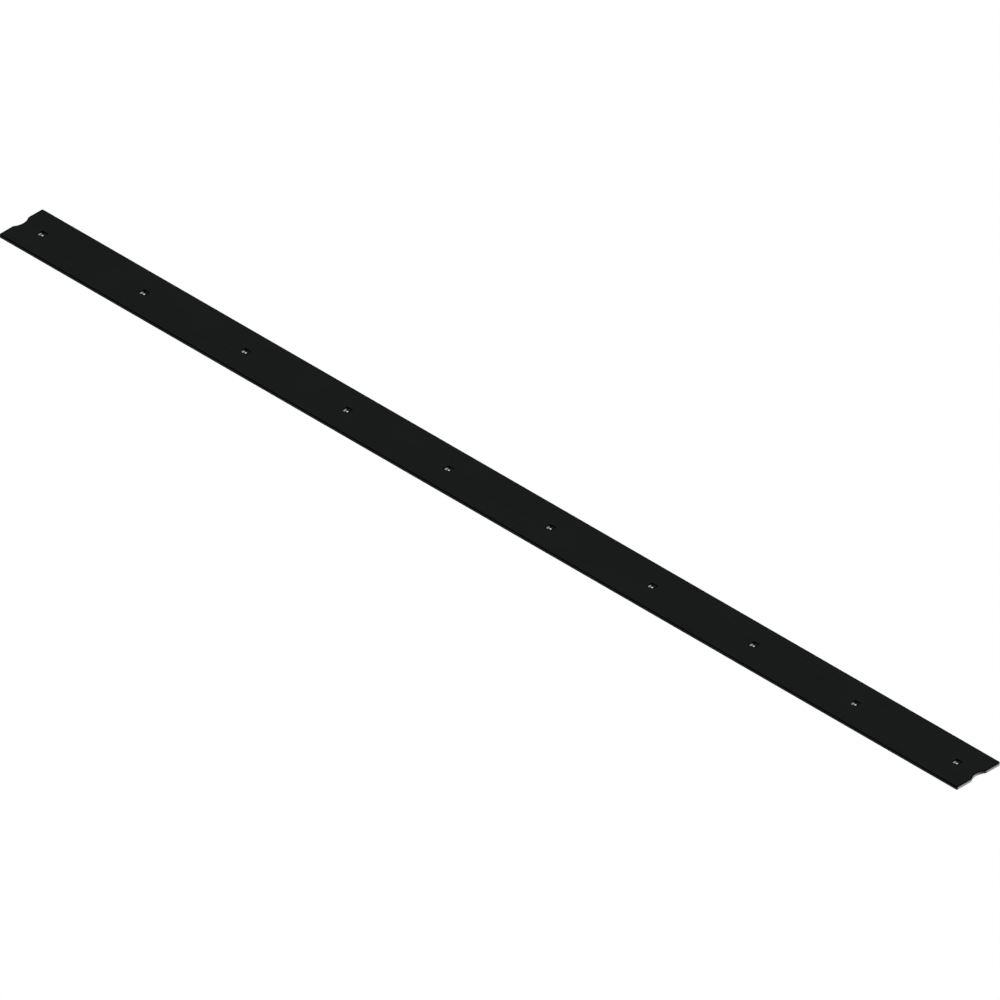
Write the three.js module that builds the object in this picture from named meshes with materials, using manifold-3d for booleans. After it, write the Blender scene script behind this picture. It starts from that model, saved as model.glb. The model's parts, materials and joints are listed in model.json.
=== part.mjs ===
// Wear bar of a small snow plow: one flat steel strip that bolts along the bottom edge of the
// plow's moldboard and is scraped away in its place. The strip is the same end for end and edge
// for edge, so it can be turned over when its first edge has worn.
//
// Frame, in millimetres: +X along the bar, +Y across its width, +Z through its thickness.
// The origin is the centre of the back face, which lies on z = 0.

import * as THREE from 'three';
import { mergeVertices } from 'three/addons/utils/BufferGeometryUtils.js';
import Module from 'manifold-3d';

const INCH = 25.4;

// Strip
const LENGTH = 66 * INCH;
const WIDTH = 3 * INCH;
const THICKNESS = (3 / 16) * INCH;
const CORNER_RADIUS = 2;

// Shallow arc notch in the middle of each end, with a rounded lip on either side of it
const NOTCH_RADIUS = (7 / 8) * INCH;
const NOTCH_DEPTH = (11 / 64) * INCH;
const LIP_RADIUS = (3 / 16) * INCH;

// Square holes for the necks of carriage bolts, in one row on the centreline
const HOLE_COUNT = 10;
const HOLE_PITCH = 7 * INCH;
const HOLE_SIDE = (11 / 32) * INCH;

// How far a cutting tool runs past each face of the strip
const OVERRUN = 1;

// Straight facets in each arc of the outline are twice this number
const ARC_DIVISIONS = 12;

const QUARTER_TURN = Math.PI / 2;
const BLACK_PAINT = new THREE.MeshStandardMaterial({ color: 0x1b1d1c, roughness: 0.5, metalness: 0 });

const wasm = await Module();
wasm.setup();

// A three.js geometry as a manifold solid
function toSolid(geometry) {
  const bare = geometry.clone();
  bare.deleteAttribute('normal');
  bare.deleteAttribute('uv');
  const merged = mergeVertices(bare);
  const mesh = new wasm.Mesh({
    numProp: 3,
    vertProperties: new Float32Array(merged.attributes.position.array),
    triVerts: new Uint32Array(merged.index.array),
  });
  return new wasm.Manifold(mesh);
}

// A manifold solid as a flat-shaded three.js geometry
function toGeometry(solid) {
  const mesh = solid.getMesh();
  const geometry = new THREE.BufferGeometry();
  geometry.setAttribute('position', new THREE.BufferAttribute(mesh.vertProperties, mesh.numProp));
  geometry.setIndex(new THREE.BufferAttribute(mesh.triVerts, 1));
  const flat = geometry.toNonIndexed();
  flat.computeVertexNormals();
  return flat;
}

// Adds one end to the strip's outline, anticlockwise from one corner to the other.
// It is drawn as the end at +X, then turned: by nothing, or by half a turn for the end at -X.
function addEnd(outline, turn) {
  const side = turn === 0 ? 1 : -1;
  const cornerX = LENGTH / 2 - CORNER_RADIUS;
  const cornerY = WIDTH / 2 - CORNER_RADIUS;
  const lipX = LENGTH / 2 - LIP_RADIUS;
  const notchX = LENGTH / 2 + NOTCH_RADIUS - NOTCH_DEPTH;

  // The lips touch the notch where both lean this far from the length of the strip
  const lean = Math.acos((notchX - lipX) / (NOTCH_RADIUS + LIP_RADIUS));
  const lipY = (NOTCH_RADIUS + LIP_RADIUS) * Math.sin(lean);

  function addArc(x, y, radius, start, finish) {
    const clockwise = finish < start;
    outline.absarc(side * x, side * y, radius, turn + start, turn + finish, clockwise);
  }
  addArc(cornerX, -cornerY, CORNER_RADIUS, -QUARTER_TURN, 0);
  addArc(lipX, -lipY, LIP_RADIUS, 0, lean);
  addArc(notchX, 0, NOTCH_RADIUS, Math.PI + lean, Math.PI - lean);
  addArc(lipX, lipY, LIP_RADIUS, -lean, 0);
  addArc(cornerX, cornerY, CORNER_RADIUS, 0, QUARTER_TURN);
}

// Outline of the strip seen from the front. Straight edges join each arc to the next.
function stripOutline() {
  const outline = new THREE.Shape();
  addEnd(outline, 0);
  addEnd(outline, Math.PI);
  outline.closePath();
  return outline;
}

// The strip before its holes are punched
function blankStrip() {
  return new THREE.ExtrudeGeometry(stripOutline(), {
    depth: THICKNESS,
    bevelEnabled: false,
    curveSegments: ARC_DIVISIONS,
  });
}

// The square punch that cuts one hole, its sides parallel to the strip's edges
function holePunch(centreX) {
  const punch = new THREE.BoxGeometry(HOLE_SIDE, HOLE_SIDE, THICKNESS + 2 * OVERRUN);
  punch.translate(centreX, 0, THICKNESS / 2);
  return punch;
}

function wearBar() {
  const firstHoleX = (-HOLE_PITCH * (HOLE_COUNT - 1)) / 2;
  let solid = toSolid(blankStrip());
  for (let index = 0; index < HOLE_COUNT; index += 1) {
    solid = solid.subtract(toSolid(holePunch(firstHoleX + index * HOLE_PITCH)));
  }
  const bar = new THREE.Mesh(toGeometry(solid), BLACK_PAINT);
  bar.name = 'wear_bar';
  return bar;
}

const part = new THREE.Group();
part.add(wearBar());

export default part;
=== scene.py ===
"""Looks of a snow plow's wear bar: one flat strip of steel plate in satin black paint.

The strip lies on its back face: X runs along it, Y across it and Z up through its thickness.
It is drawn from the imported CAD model's own box and bolt holes, with every edge rolled over by
the paint, and is seen in an isometric view on a plain white floor.
"""

import json
import math

import bmesh
import bpy
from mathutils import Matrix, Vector
from mathutils.geometry import delaunay_2d_cdt


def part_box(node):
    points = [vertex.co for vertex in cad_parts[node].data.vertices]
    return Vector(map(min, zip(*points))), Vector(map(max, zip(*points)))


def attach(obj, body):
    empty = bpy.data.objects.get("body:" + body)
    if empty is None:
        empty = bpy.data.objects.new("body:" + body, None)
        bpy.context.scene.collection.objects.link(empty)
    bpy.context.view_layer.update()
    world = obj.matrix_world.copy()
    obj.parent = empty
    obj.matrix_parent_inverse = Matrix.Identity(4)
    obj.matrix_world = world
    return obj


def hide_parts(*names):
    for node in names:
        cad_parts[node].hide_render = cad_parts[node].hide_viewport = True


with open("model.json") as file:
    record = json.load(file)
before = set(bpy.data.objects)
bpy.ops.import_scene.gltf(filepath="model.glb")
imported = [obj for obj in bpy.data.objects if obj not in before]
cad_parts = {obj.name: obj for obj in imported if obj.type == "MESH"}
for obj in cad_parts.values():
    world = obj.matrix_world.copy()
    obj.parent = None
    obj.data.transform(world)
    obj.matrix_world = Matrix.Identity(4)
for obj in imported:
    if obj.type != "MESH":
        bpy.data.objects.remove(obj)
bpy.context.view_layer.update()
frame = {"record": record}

MM = 0.001
NODE = "wear_bar"
LOW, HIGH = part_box(NODE)
CENTRE = (LOW + HIGH) / 2
LENGTH, WIDTH, THICKNESS = HIGH - LOW
HOLE_BOXES = [opening["box_m"] for opening in frame["record"]["physics"]["openings"]]
HOLE_CENTRES = [(low[0] + high[0]) / 2 for low, high in HOLE_BOXES]
PITCH = HOLE_CENTRES[1] - HOLE_CENTRES[0]

# Outline
CORNER_RADIUS = 2 * MM
NOTCH_RADIUS = 22.225 * MM
NOTCH_DEPTH = 4.366 * MM
LIP_RADIUS = 4.7625 * MM
HOLE_SIDE = 8.731 * MM
HOLE_CORNER_RADIUS = 0.4 * MM

# Section through an edge: the paint rolls over it, and a dark rim of painted shade runs along it.
# The painted shade fades out over HOLE_RIM_WIDTH round a hole and along its walls from their
# corners, over WALL_RIM_WIDTH down every wall from the front face, and over RIM_WIDTH elsewhere
EDGE_RADIUS = 0.45 * MM
HOLE_EDGE_RADIUS = 0.25 * MM
RIM_WIDTH = 0.75 * MM
HOLE_RIM_WIDTH = 1.1 * MM
WALL_RIM_WIDTH = 1.2 * MM

# Mesh density: steps along each kind of curve, the spacing of points on the flat faces and along
# the strip's outline, the spacing along a hole's, and the share of a flat face's spacing that
# stays clear beside an outline
EDGE_STEPS = 5
WALL_STEPS = 3
ARC_STEPS = 10
HOLE_CORNER_STEPS = 5
NOTCH_STEPS = 28
SPAN = WIDTH / 10
HOLE_SPAN = HOLE_SIDE / 4
CLEARANCE = 0.45

# How near two points are when they count as one, in metres, and how far from flat and from a
# rectangle two triangles may be when they join into one face, in radians
SAME_POINT = 1e-7
FLAT_ENOUGH = 0.01
SQUARE_ENOUGH = 0.3

# Baking map: a tile for each hole's stretch of the front and of the back, with room round it. A
# wall's share of its true depth in the map is OUTLINE_FOLD on the outline and HOLE_FOLD in a hole,
# where there is less room. A face whose normal points down by more than BACK_NORMAL is the back's
BAKE_MAP = "OFBake"
TILE_COLUMNS = 4
TILE_ROWS = math.ceil(2 * len(HOLE_CENTRES) / TILE_COLUMNS)
ROOM_ALONG = 12 * MM
ROOM_ACROSS = 2 * MM
TILE_LENGTH = PITCH + ROOM_ALONG
TILE_WIDTH = WIDTH + 2 * THICKNESS + ROOM_ACROSS
OUTLINE_FOLD = 1
HOLE_FOLD = 0.7
BACK_NORMAL = 0.5

QUARTER = math.pi / 2


# Outline -----------------------------------------------------------------------------------------

def arc(centre, radius, start, end, steps, rim=0):
    """Points of an arc with their outward normals and how far they belong to the rim of painted
    shade along the edges. A clockwise arc is hollow, so its normals point at its centre."""
    side = 1 if end > start else -1
    points = []
    for step in range(steps + 1):
        angle = start + (end - start) * step / steps
        spoke = Vector((math.cos(angle), math.sin(angle)))
        points.append((centre + radius * spoke, side * spoke, rim))
    return points


def joined(arcs, spacing, rim_width):
    """A closed loop through arcs, with points along the straight stretches between them: one a
    rim's width from each end, and the rest evenly spaced between those two. Where two arcs
    touch, their common point is kept once."""
    loop = []
    for index, current in enumerate(arcs):
        start, normal, _ = current[-1]
        end = arcs[(index + 1) % len(arcs)][0][0]
        gap = (end - start).length
        if gap < rim_width:
            loop += current[:-1]
            continue
        loop += current
        first, last = start.lerp(end, rim_width / gap), end.lerp(start, rim_width / gap)
        pieces = max(1, round(gap / spacing))
        for step in range(pieces + 1):
            loop.append((first.lerp(last, step / pieces), normal, 0))
    return loop


def end_arcs():
    """Arcs of the right-hand end, from its lower corner to its upper one."""
    half_length, half_width = LENGTH / 2, WIDTH / 2
    corner = Vector((half_length - CORNER_RADIUS, half_width - CORNER_RADIUS))
    notch = Vector((half_length + NOTCH_RADIUS - NOTCH_DEPTH, 0))
    lip_x = half_length - LIP_RADIUS
    lean = math.acos((notch.x - lip_x) / (NOTCH_RADIUS + LIP_RADIUS))
    lip_y = (NOTCH_RADIUS + LIP_RADIUS) * math.sin(lean)
    return [
        arc(Vector((corner.x, -corner.y)), CORNER_RADIUS, -QUARTER, 0, ARC_STEPS),
        arc(Vector((lip_x, -lip_y)), LIP_RADIUS, 0, lean, ARC_STEPS),
        arc(notch, NOTCH_RADIUS, math.pi + lean, math.pi - lean, NOTCH_STEPS),
        arc(Vector((lip_x, lip_y)), LIP_RADIUS, -lean, 0, ARC_STEPS),
        arc(corner, CORNER_RADIUS, 0, QUARTER, ARC_STEPS),
    ]


def turned(arcs):
    """The same arcs turned half a turn about the centre of the strip."""
    return [[(-point, -normal, rim) for point, normal, rim in points] for points in arcs]


def strip_loop():
    """The strip's outline, anticlockwise."""
    right_end = end_arcs()
    return joined(right_end + turned(right_end), SPAN, RIM_WIDTH)


def hole_loop(centre_x):
    """A square hole's outline, clockwise, so that the steel is on the same side as in
    strip_loop. Its corners are painted dark as shade down the hole's walls."""
    reach = HOLE_SIDE / 2 - HOLE_CORNER_RADIUS
    corners = []
    for index, (x, y) in enumerate([(1, 1), (1, -1), (-1, -1), (-1, 1)]):
        start = QUARTER * (1 - index)
        end = start - QUARTER
        centre = Vector((centre_x + x * reach, y * reach))
        corners.append(arc(centre, HOLE_CORNER_RADIUS, start, end, HOLE_CORNER_STEPS, 1))
    return joined(corners, HOLE_SPAN, HOLE_RIM_WIDTH)


# Mesh --------------------------------------------------------------------------------------------

def section(radius, rim_width, back_rim):
    """Rings down an edge, from the front face to the back face. Each has the distance it lies
    inside the outline, its height, the outward and upward share of its normal, and how far it
    belongs to the rim of painted shade. The front edge has a full rim, and the back edge back_rim
    of one."""
    upper = [(radius + rim_width, THICKNESS, 0, 1, 0)]
    for step in range(EDGE_STEPS + 1):
        angle = QUARTER * step / EDGE_STEPS
        inset = radius * (1 - math.sin(angle))
        height = THICKNESS - radius * (1 - math.cos(angle))
        upper.append((inset, height, math.sin(angle), math.cos(angle), 1))
    lower = [
        (inset, THICKNESS - height, out, -up, rim * back_rim)
        for inset, height, out, up, rim in upper
    ]
    wall_top = THICKNESS - radius - WALL_RIM_WIDTH
    wall_bottom = radius + RIM_WIDTH
    wall = []
    for step in range(WALL_STEPS + 1):
        height = wall_top + (wall_bottom - wall_top) * step / WALL_STEPS
        wall.append((0, height, 1, 0, 0))
    return upper + wall + lower[::-1]


def inside(point, loop):
    """True if a point lies inside a loop of points."""
    found = False
    for index, start in enumerate(loop):
        end = loop[index - 1]
        if (start.y > point.y) != (end.y > point.y):
            crossing = start.x + (point.y - start.y) * (end.x - start.x) / (end.y - start.y)
            if point.x < crossing:
                found = not found
    return found


def grid_points(loops):
    """Points on a square grid over the flat face, clear of every loop round it."""
    near = {}
    for loop in loops:
        for point in loop:
            near.setdefault(round(point.x / SPAN), []).append(point)
    last_column, last_row = round(LENGTH / SPAN / 2), round(WIDTH / SPAN / 2)
    points = []
    for column in range(-last_column, last_column + 1):
        close = [point for c in (column - 1, column, column + 1) for point in near.get(c, [])]
        for row in range(-last_row, last_row + 1):
            point = Vector((column, row)) * SPAN
            clear = all((point - other).length > CLEARANCE * SPAN for other in close)
            in_hole = any(inside(point, loop) for loop in loops[1:])
            if clear and inside(point, loops[0]) and not in_hole:
                points.append(point)
    return points


def face_triangles(loops):
    """The flat face inside the first loop and outside the others: its points, which begin with
    those of the loops in order, and its triangles."""
    points = [point for loop in loops for point in loop]
    edges = []
    first = 0
    for loop in loops:
        edges += [(first + i, first + (i + 1) % len(loop)) for i in range(len(loop))]
        first += len(loop)
    points += grid_points(loops)
    made, _, faces, origins, _, _ = delaunay_2d_cdt(points, edges, [], 1, SAME_POINT)
    kept = []
    for face in faces:
        middle = sum((made[i] for i in face), Vector((0, 0))) / len(face)
        if not any(inside(middle, loop) for loop in loops[1:]):
            kept.append([origins[i][0] for i in face])
    return points, kept


class Surface:
    """Vertices with their normals, rim shares and folds, and the faces between them. A vertex's
    fold is how far it moves in the baking map, and which way, for each metre of its depth."""

    def __init__(self):
        self.vertices = []
        self.normals = []
        self.rims = []
        self.folds = []
        self.faces = []

    def add(self, place, normal, rim, fold):
        self.vertices.append(tuple(place))
        self.normals.append(tuple(normal))
        self.rims.append(rim)
        self.folds.append(fold)
        return len(self.vertices) - 1

    def add_edge(self, outline, radius, rim_width, back_rim, fold):
        """The rolled edges and the wall along an outline. Returns the indices of its first ring
        and its last, which bound the front face and the back face."""
        rings = []
        for inset, height, out, up, rim in section(radius, rim_width, back_rim):
            ring = []
            for point, normal, corner_rim in outline:
                place = point - inset * normal
                share = max(rim, corner_rim if out == 1 else 0)
                facing = (*(normal * out), up)
                ring.append(self.add((*place, height), facing, share, normal * fold))
            rings.append(ring)
        for upper, lower in zip(rings, rings[1:]):
            for here in range(len(outline)):
                beside = (here + 1) % len(outline)
                self.faces.append((upper[here], lower[here], lower[beside], upper[beside]))
        return rings[0], rings[-1]

    def add_flat(self, border, points, triangles, height, up):
        """A flat face, facing up or down, whose first points are those of its border."""
        inner = points[len(border):]
        no_fold = Vector((0, 0))
        indices = border + [self.add((*point, height), (0, 0, up), 0, no_fold) for point in inner]
        for triangle in triangles:
            face = [indices[i] for i in triangle]
            self.faces.append(face if up > 0 else face[::-1])

    def to_mesh(self, name):
        """The mesh, with its flat faces' triangles joined in pairs where they can be."""
        mesh = bpy.data.meshes.new(name)
        mesh.from_pydata(self.vertices, [], self.faces)
        squared = bmesh.new()
        squared.from_mesh(mesh)
        triangles = [face for face in squared.faces if len(face.verts) == 3]
        bmesh.ops.join_triangles(
            squared,
            faces=triangles,
            angle_face_threshold=FLAT_ENOUGH,
            angle_shape_threshold=SQUARE_ENOUGH,
        )
        squared.to_mesh(mesh)
        squared.free()
        # Each vertex's share of the painted shade along the edges
        mesh.attributes.new("rim", "FLOAT", "POINT").data.foreach_set("value", self.rims)
        self.add_baking_map(mesh)
        mesh.polygons.foreach_set("use_smooth", [True] * len(mesh.polygons))
        mesh.normals_split_custom_set_from_vertices(self.normals)
        mesh.update()
        return mesh

    def add_baking_map(self, mesh):
        """Lays the strip out in tiles of even detail. The outline's walls fold out flat round
        the front, and a hole's walls close in on its middle, as they are seen down the hole."""
        layer = mesh.uv_layers.new(name=BAKE_MAP)
        for face in mesh.polygons:
            hole = min(range(len(HOLE_CENTRES)), key=lambda i: abs(HOLE_CENTRES[i] - face.center.x))
            is_back = face.normal.z < -BACK_NORMAL
            row, column = divmod(hole + len(HOLE_CENTRES) * is_back, TILE_COLUMNS)
            for corner in face.loop_indices:
                index = mesh.loops[corner].vertex_index
                x, y, z = self.vertices[index]
                flat = Vector((x, y)) + self.folds[index] * (z if is_back else THICKNESS - z)
                across = (flat.x - HOLE_CENTRES[hole]) / TILE_LENGTH + 0.5
                up = flat.y / TILE_WIDTH + 0.5
                layer.uv[corner].vector = ((column + across) / TILE_COLUMNS, (row + up) / TILE_ROWS)


def plate_mesh():
    """The whole strip as one closed mesh with exact smooth normals."""
    surface = Surface()
    edges = [surface.add_edge(strip_loop(), EDGE_RADIUS, RIM_WIDTH, 0, OUTLINE_FOLD)]
    for x in HOLE_CENTRES:
        outline = hole_loop(x)
        edges.append(surface.add_edge(outline, HOLE_EDGE_RADIUS, HOLE_RIM_WIDTH, 1, HOLE_FOLD))
    loops = [[Vector(surface.vertices[index][:2]) for index in front] for front, _ in edges]
    points, triangles = face_triangles(loops)
    front_border = [index for front, _ in edges for index in front]
    back_border = [index for _, back in edges for index in back]
    surface.add_flat(front_border, points, triangles, THICKNESS, 1)
    surface.add_flat(back_border, points, triangles, 0, -1)
    return surface.to_mesh("wear_bar_plate")


# Materials ---------------------------------------------------------------------------------------

class Nodes:
    """A node tree with short calls for making and joining nodes."""

    # Where a Mix node of each type has its share, its two values and its result
    MIX_SOCKETS = {"FLOAT": (0, 2, 3, 0), "RGBA": (0, 6, 7, 2)}

    def __init__(self, tree):
        self.tree = tree
        tree.nodes.clear()

    def add(self, kind, inputs=None, **settings):
        node = self.tree.nodes.new("ShaderNode" + kind)
        for name, value in settings.items():
            setattr(node, name, value)
        for name, value in (inputs or {}).items():
            self.feed(node.inputs[name], value)
        return node

    def feed(self, socket, value):
        if isinstance(value, bpy.types.NodeSocket):
            self.tree.links.new(value, socket)
        else:
            socket.default_value = value

    def math(self, operation, first, second=0.0):
        node = self.add("Math", {0: first, 1: second}, operation=operation)
        return node.outputs[0]

    def ramp(self, value, low, high, to_low=0.0, to_high=1.0):
        """value taken smoothly from the range low..high to the range to_low..to_high."""
        inputs = {
            "Value": value,
            "From Min": low,
            "From Max": high,
            "To Min": to_low,
            "To Max": to_high,
        }
        node = self.add("MapRange", inputs, interpolation_type="SMOOTHSTEP")
        return node.outputs["Result"]

    def mix(self, share, first, second, data_type="FLOAT"):
        """The first value where share is 0, and the second where it is 1."""
        share_at, first_at, second_at, result_at = self.MIX_SOCKETS[data_type]
        inputs = {share_at: share, first_at: first, second_at: second}
        return self.add("Mix", inputs, data_type=data_type).outputs[result_at]

    def blend(self, share, first, second):
        """The first colour where share is 0, and the second where it is 1."""
        return self.mix(share, first, second, "RGBA")

    def product(self, first, second):
        return self.math("MULTIPLY", first, second)

    def noise(self, place, scale, detail=2.0, stretch=(1, 1, 1), turn=0.0):
        """Noise with about scale features per metre, but fewer along an axis where stretch is
        under 1, turned about Z."""
        settings = {"Vector": place, "Scale": stretch, "Rotation": (0, 0, turn)}
        drawn_out = self.add("Mapping", settings).outputs[0]
        node = self.add("TexNoise", {"Vector": drawn_out, "Scale": scale, "Detail": detail})
        return node.outputs["Fac"]

    def bump(self, height, distance, normal=None):
        """The normal of a relief that is distance metres high where height is 1. It lies over
        the relief that has the given normal, if there is one."""
        inputs = {"Height": height, "Distance": distance}
        if normal is not None:
            inputs["Normal"] = normal
        return self.add("Bump", inputs).outputs[0]


# Colours of the paint, of a scuff in it and of the painted shade along the edges
DEEP_BLACK = (0.0085, 0.0097, 0.0091, 1)
SOFT_BLACK = (0.0125, 0.0142, 0.0134, 1)
SCUFF_GREY = (0.024, 0.026, 0.025, 1)
# Painted shade: near black laid along each edge and down the walls from it
RIM_SHADE_BLACK = (0.0008, 0.0009, 0.0009, 1)

# Noise behind each part of the finish
MOTTLE = {"scale": 14, "detail": 4}
STREAK = {"scale": 240, "detail": 3, "stretch": (0.012, 1, 1)}
RIPPLE = {"scale": 95, "detail": 1.5}
PEEL = {"scale": 620}
DRAG = {"scale": 1100, "stretch": (1, 1, 0.04)}
SCUFF_LINE = {"scale": 520, "stretch": (0.02, 1, 1), "turn": 0.09}
SCUFF_PATCH = {"scale": 7}

# Heights of the relief
RIPPLE_HEIGHT = 0.11 * MM
PEEL_HEIGHT = 0.03 * MM
DRAG_HEIGHT = 0.14 * MM

# Ranges over which the finish changes: of a point's rim share, of how squarely a surface faces up
# or down, and of the noise
RIM_RANGE = (0, 0.5)
WALL_RANGE = (0.1, 0.6)
FACE_RANGE = (0.6, 0.95)
SCUFF_LINE_RANGE = (0.64, 0.76)
SCUFF_PATCH_RANGE = (0.5, 0.68)
TONE_RANGE = (0.32, 0.68)

# Strengths of the finish's parts, and its shine
MOTTLE_SHARE = 0.55
STREAK_SHARE = 0.45
SCUFF_SHARE = 0.5
DEEP_ROUGHNESS = 0.33
SOFT_ROUGHNESS = 0.43
SCUFF_ROUGHNESS = 0.12
PAINT_IOR = 1.5
PAINT_SPECULAR = 0.5
RIM_SPECULAR = 0.03


def black_paint():
    """Satin black paint over rolled plate: orange peel over the plate's slow ripple, faint
    streaks along the rolling direction, soft mottling, a few dull scuffs, drag lines down the
    cut edges, and a near-black rim of painted shade along each edge."""
    material = bpy.data.materials.new("satin_black_paint")
    material.use_nodes = True
    nodes = Nodes(material.node_tree)
    place = nodes.add("TexCoord").outputs["Object"]
    rim = nodes.ramp(nodes.add("Attribute", attribute_name="rim").outputs["Fac"], *RIM_RANGE)
    normal = nodes.add("NewGeometry").outputs["Normal"]
    upright = nodes.math("ABSOLUTE", nodes.add("SeparateXYZ", {0: normal}).outputs["Z"])
    on_wall = nodes.ramp(upright, *WALL_RANGE, 1, 0)
    on_face = nodes.ramp(upright, *FACE_RANGE)

    scuff_line = nodes.ramp(nodes.noise(place, **SCUFF_LINE), *SCUFF_LINE_RANGE)
    scuff_patch = nodes.ramp(nodes.noise(place, **SCUFF_PATCH), *SCUFF_PATCH_RANGE)
    scuff = nodes.product(nodes.product(scuff_line, scuff_patch), on_face)

    mottle = nodes.product(nodes.noise(place, **MOTTLE), MOTTLE_SHARE)
    streak = nodes.product(nodes.noise(place, **STREAK), STREAK_SHARE)
    tone = nodes.ramp(nodes.math("ADD", mottle, streak), *TONE_RANGE)
    paint = nodes.blend(tone, DEEP_BLACK, SOFT_BLACK)
    paint = nodes.blend(nodes.product(scuff, SCUFF_SHARE), paint, SCUFF_GREY)
    # Painted shade: the rim along each edge is darkened to near black
    paint = nodes.blend(rim, paint, RIM_SHADE_BLACK)

    roughness = nodes.ramp(tone, 0, 1, DEEP_ROUGHNESS, SOFT_ROUGHNESS)
    roughness = nodes.math("ADD", roughness, nodes.product(scuff, SCUFF_ROUGHNESS))

    relief = nodes.bump(nodes.noise(place, **RIPPLE), RIPPLE_HEIGHT)
    relief = nodes.bump(nodes.noise(place, **PEEL), PEEL_HEIGHT, relief)
    drag = nodes.product(nodes.noise(place, **DRAG), on_wall)
    relief = nodes.bump(drag, DRAG_HEIGHT, relief)

    shader = nodes.add("BsdfPrincipled", {
        "Base Color": paint,
        "Roughness": roughness,
        "Normal": relief,
        "IOR": PAINT_IOR,
        # Painted shade: the rim also loses most of its shine, so it stays dark
        "Specular IOR Level": nodes.ramp(rim, 0, 1, PAINT_SPECULAR, RIM_SPECULAR),
    })
    nodes.add("OutputMaterial", {"Surface": shader.outputs[0]})
    return material


def add_bar():
    """The strip, in place of its CAD solid."""
    bar = bpy.data.objects.new("wear_bar_plate", plate_mesh())
    bpy.context.scene.collection.objects.link(bar)
    bar.location = (CENTRE.x, CENTRE.y, LOW.z)
    bar.data.materials.append(black_paint())
    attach(bar, "root")
    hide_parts(NODE)


# Stage -------------------------------------------------------------------------------------------

WHITE = (1, 1, 1, 1)

# The floor lies a little below the strip. Its painted shade begins some way inside the strip's
# outline
FLOOR_SIZE = 12
FLOOR_GAP = 0.2 * MM
SHADE = 0.004
SHADE_INSET = 12 * MM

# The painted spot of light in each hole: how far it reaches, and how far its middle lies from the
# hole's both along and across the strip. FROM_ABOVE is the range of the sine of the viewer's
# elevation over which the rest of the floor in the holes is painted bright too
SPOT_BRIGHTNESS = 0.9
SPOT_REACH = 1.9 * MM
SPOT_OFFSET = 2.75 * MM
FROM_ABOVE = (0.7, 0.97)


def white_floor():
    """White that looks the same everywhere but in a painted shade of the strip, which is seen
    through its bolt holes. A soft painted spot of light lies in each hole, where light from the
    camera's side would fall, by the hole's far corner. Seen from above, the floor in a hole is
    painted bright all over, and from below the floor is clear."""
    material = bpy.data.materials.new("plain_white")
    material.use_nodes = True
    nodes = Nodes(material.node_tree)
    geometry = nodes.add("NewGeometry").outputs
    place = nodes.add("SeparateXYZ", {0: geometry["Position"]}).outputs
    x, y = place["X"], place["Y"]
    beneath = nodes.product(
        nodes.math("LESS_THAN", nodes.math("ABSOLUTE", x), LENGTH / 2 - SHADE_INSET),
        nodes.math("LESS_THAN", nodes.math("ABSOLUTE", y), WIDTH / 2 - SHADE_INSET),
    )
    from_first = nodes.math("SUBTRACT", x, HOLE_CENTRES[0])
    one_pitch = {0: from_first, 1: PITCH / 2, 2: -PITCH / 2}
    from_nearest = nodes.add("Math", one_pitch, operation="WRAP").outputs[0]
    along = nodes.math("ADD", from_nearest, SPOT_OFFSET)
    across = nodes.math("SUBTRACT", y, SPOT_OFFSET)
    spot = SPOT_BRIGHTNESS
    for from_spot in (along, across):
        near = nodes.ramp(nodes.math("ABSOLUTE", from_spot), 0, SPOT_REACH, 1, 0)
        spot = nodes.product(near, spot)
    shade = nodes.math("ADD", spot, SHADE)
    towards_camera = nodes.add("SeparateXYZ", {0: geometry["Incoming"]}).outputs
    from_above = nodes.ramp(towards_camera["Z"], *FROM_ABOVE)
    # Painted shade beneath the strip, with a painted spot of light in each hole
    strength = nodes.mix(beneath, 1.0, nodes.mix(from_above, shade, SPOT_BRIGHTNESS))
    glow = nodes.add("Emission", {"Color": WHITE, "Strength": strength}).outputs[0]
    clear = nodes.add("BsdfTransparent").outputs[0]
    seen = nodes.add("MixShader", {0: geometry["Backfacing"], 1: glow, 2: clear}).outputs[0]
    nodes.add("OutputMaterial", {"Surface": seen})
    return material


def add_floor():
    """A plain white floor that is seen, but neither lights the strip nor keeps light from it."""
    place = (CENTRE.x, CENTRE.y, LOW.z - FLOOR_GAP)
    bpy.ops.mesh.primitive_plane_add(size=FLOOR_SIZE, location=place)
    floor = bpy.context.object
    floor.name = "floor"
    floor.data.materials.append(white_floor())
    floor.visible_diffuse = False
    floor.visible_glossy = False
    floor.visible_shadow = False


# Each soft light far round the strip: the direction it stands in, its brightness, and how far its
# core and its rim reach, as angles from its middle in degrees. The fill lights set the tone of
# the front face, and the key lights pick out the walls and the rolled edges
FILL_LIGHTS = [
    ((-1, 1, 1), 0.098, 20, 50),
    ((-1, -1, -1), 0.13, 20, 50),
]
KEY_LIGHTS = [
    ((1, 1.25, -2), 6.2, 8, 36),
    ((1, -1, 2.2), 2.0, 5, 35),
    ((1, 0, -0.1), 0.8, 5, 40),
    ((0, -1, -0.1), 0.8, 5, 40),
    ((1, -1, 0.1), 0.35, 5, 40),
    ((-1, 0, 0.4), 0.10, 5, 32),
]
FILL_COLOUR = (0.86, 1.0, 0.93, 1)

# Brightness between the lights, and of the backdrop that only the camera sees
AMBIENT = 0.012
BACKDROP = 1.0


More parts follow.
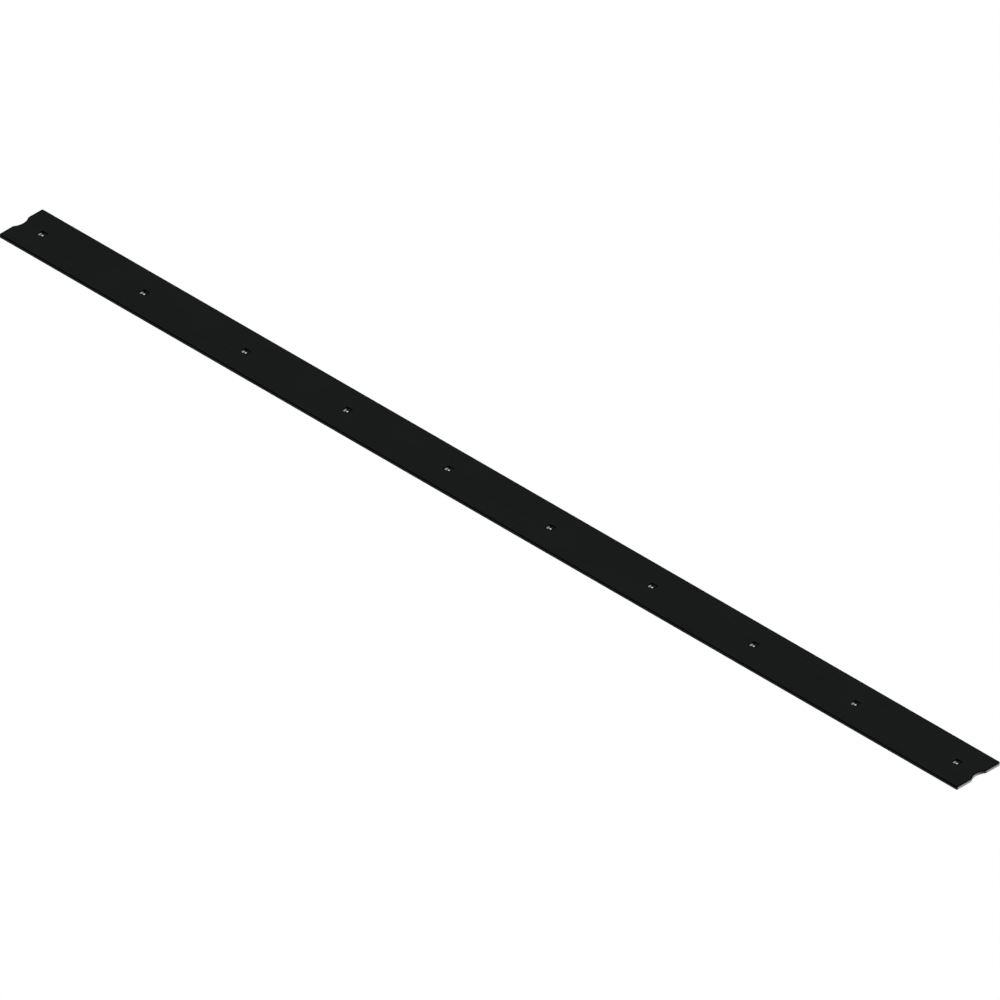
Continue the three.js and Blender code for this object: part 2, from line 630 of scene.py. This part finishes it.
def soft_lights(nodes, outward, lights, brightness):
    """The studio's brightness in each outward direction: a set of soft lights on top of the
    brightness that it already has."""
    for direction, core_brightness, core, rim in lights:
        towards = tuple(Vector(direction).normalized())
        facing = nodes.add("VectorMath", {0: outward, 1: towards}, operation="DOT_PRODUCT")
        nearly, fully = math.cos(math.radians(rim)), math.cos(math.radians(core))
        glow = nodes.ramp(facing.outputs["Value"], nearly, fully, 0.0, core_brightness)
        brightness = nodes.math("ADD", glow, brightness)
    return brightness


def add_world():
    """The studio's light. The camera sees plain white; the strip sees soft lights in the dark."""
    world = bpy.data.worlds.new("studio")
    bpy.context.scene.world = world
    world.use_nodes = True
    nodes = Nodes(world.node_tree)
    outward = nodes.add("TexCoord").outputs["Generated"]
    fill = soft_lights(nodes, outward, FILL_LIGHTS, AMBIENT)
    key = soft_lights(nodes, outward, KEY_LIGHTS, 0.0)
    fill_light = nodes.add("Background", {"Color": FILL_COLOUR, "Strength": fill}).outputs[0]
    key_light = nodes.add("Background", {"Color": WHITE, "Strength": key}).outputs[0]
    light = nodes.add("AddShader", {0: fill_light, 1: key_light}).outputs[0]
    backdrop = nodes.add("Background", {"Color": WHITE, "Strength": BACKDROP}).outputs[0]
    to_camera = nodes.add("LightPath").outputs["Is Camera Ray"]
    surroundings = nodes.add("MixShader", {0: to_camera, 1: light, 2: backdrop}).outputs[0]
    nodes.add("OutputWorld", {"Surface": surroundings})


# Camera ------------------------------------------------------------------------------------------

# The camera's direction and distance from the point it looks at, which AIM gives from the strip's
# centre, and how far it sees
AZIMUTH = math.radians(45)
ELEVATION = math.atan(math.sqrt(0.5))
CAMERA_DISTANCE = 2.108
AIM = Vector((0.8, -0.28, 0)) * MM
SIGHT = 100

# How far off the camera stands, in metres, when the strip's box just fills its frame. The frame's
# size grows in proportion to the distance
FULL_FRAME_DISTANCE = 2.113

# How steeply the frame grows to the strip's length as the camera nears the vertical, where the
# strip may lie any way round in it, and a small area, in square metres, that keeps the driver
# from dividing by zero there
OVERHEAD_POWER = 16
LEAST_AREA = 1e-9


def add_camera():
    """An isometric camera, with no perspective, whose frame the strip just fills. Wherever the
    camera is moved to, the frame follows the size of the strip's box as it is seen from there,
    with a margin that grows as the camera stands further off."""
    camera = bpy.data.objects.new("camera", bpy.data.cameras.new("camera"))
    bpy.context.scene.collection.objects.link(camera)
    bpy.context.scene.camera = camera
    back = Vector((
        math.sin(AZIMUTH) * math.cos(ELEVATION),
        -math.cos(AZIMUTH) * math.cos(ELEVATION),
        math.sin(ELEVATION),
    ))
    camera.location = CENTRE + AIM + back * CAMERA_DISTANCE
    camera.rotation_mode = "QUATERNION"
    camera.rotation_quaternion = back.to_track_quat("Z", "Y")
    camera.data.type = "ORTHO"
    camera.data.clip_end = SIGHT

    driver = camera.data.driver_add("ortho_scale").driver
    for axis in "xyz":
        variable = driver.variables.new()
        variable.name = axis
        variable.type = "TRANSFORMS"
        variable.targets[0].id = camera
        variable.targets[0].transform_type = "LOC_" + axis.upper()
        variable.targets[0].transform_space = "WORLD_SPACE"
    level = f"sqrt(x*x+y*y+{LEAST_AREA})"
    distance = "sqrt(x*x+y*y+z*z)"
    across = f"({LENGTH:.4f}*abs(y)+{WIDTH:.4f}*abs(x))/{level}"
    upward = f"({LENGTH:.4f}*abs(x)+{WIDTH:.4f}*abs(y))/{level}*abs(z)/{distance}+{THICKNESS:.4f}"
    overhead = f"{LENGTH:.4f}*pow(abs(z)/{distance},{OVERHEAD_POWER})"
    driver.type = "SCRIPTED"
    driver.expression = f"{distance}/{FULL_FRAME_DISTANCE}*max({across},{upward},{overhead})"


add_bar()
add_floor()
add_world()
add_camera()
bpy.context.scene.view_settings.view_transform = "Standard"
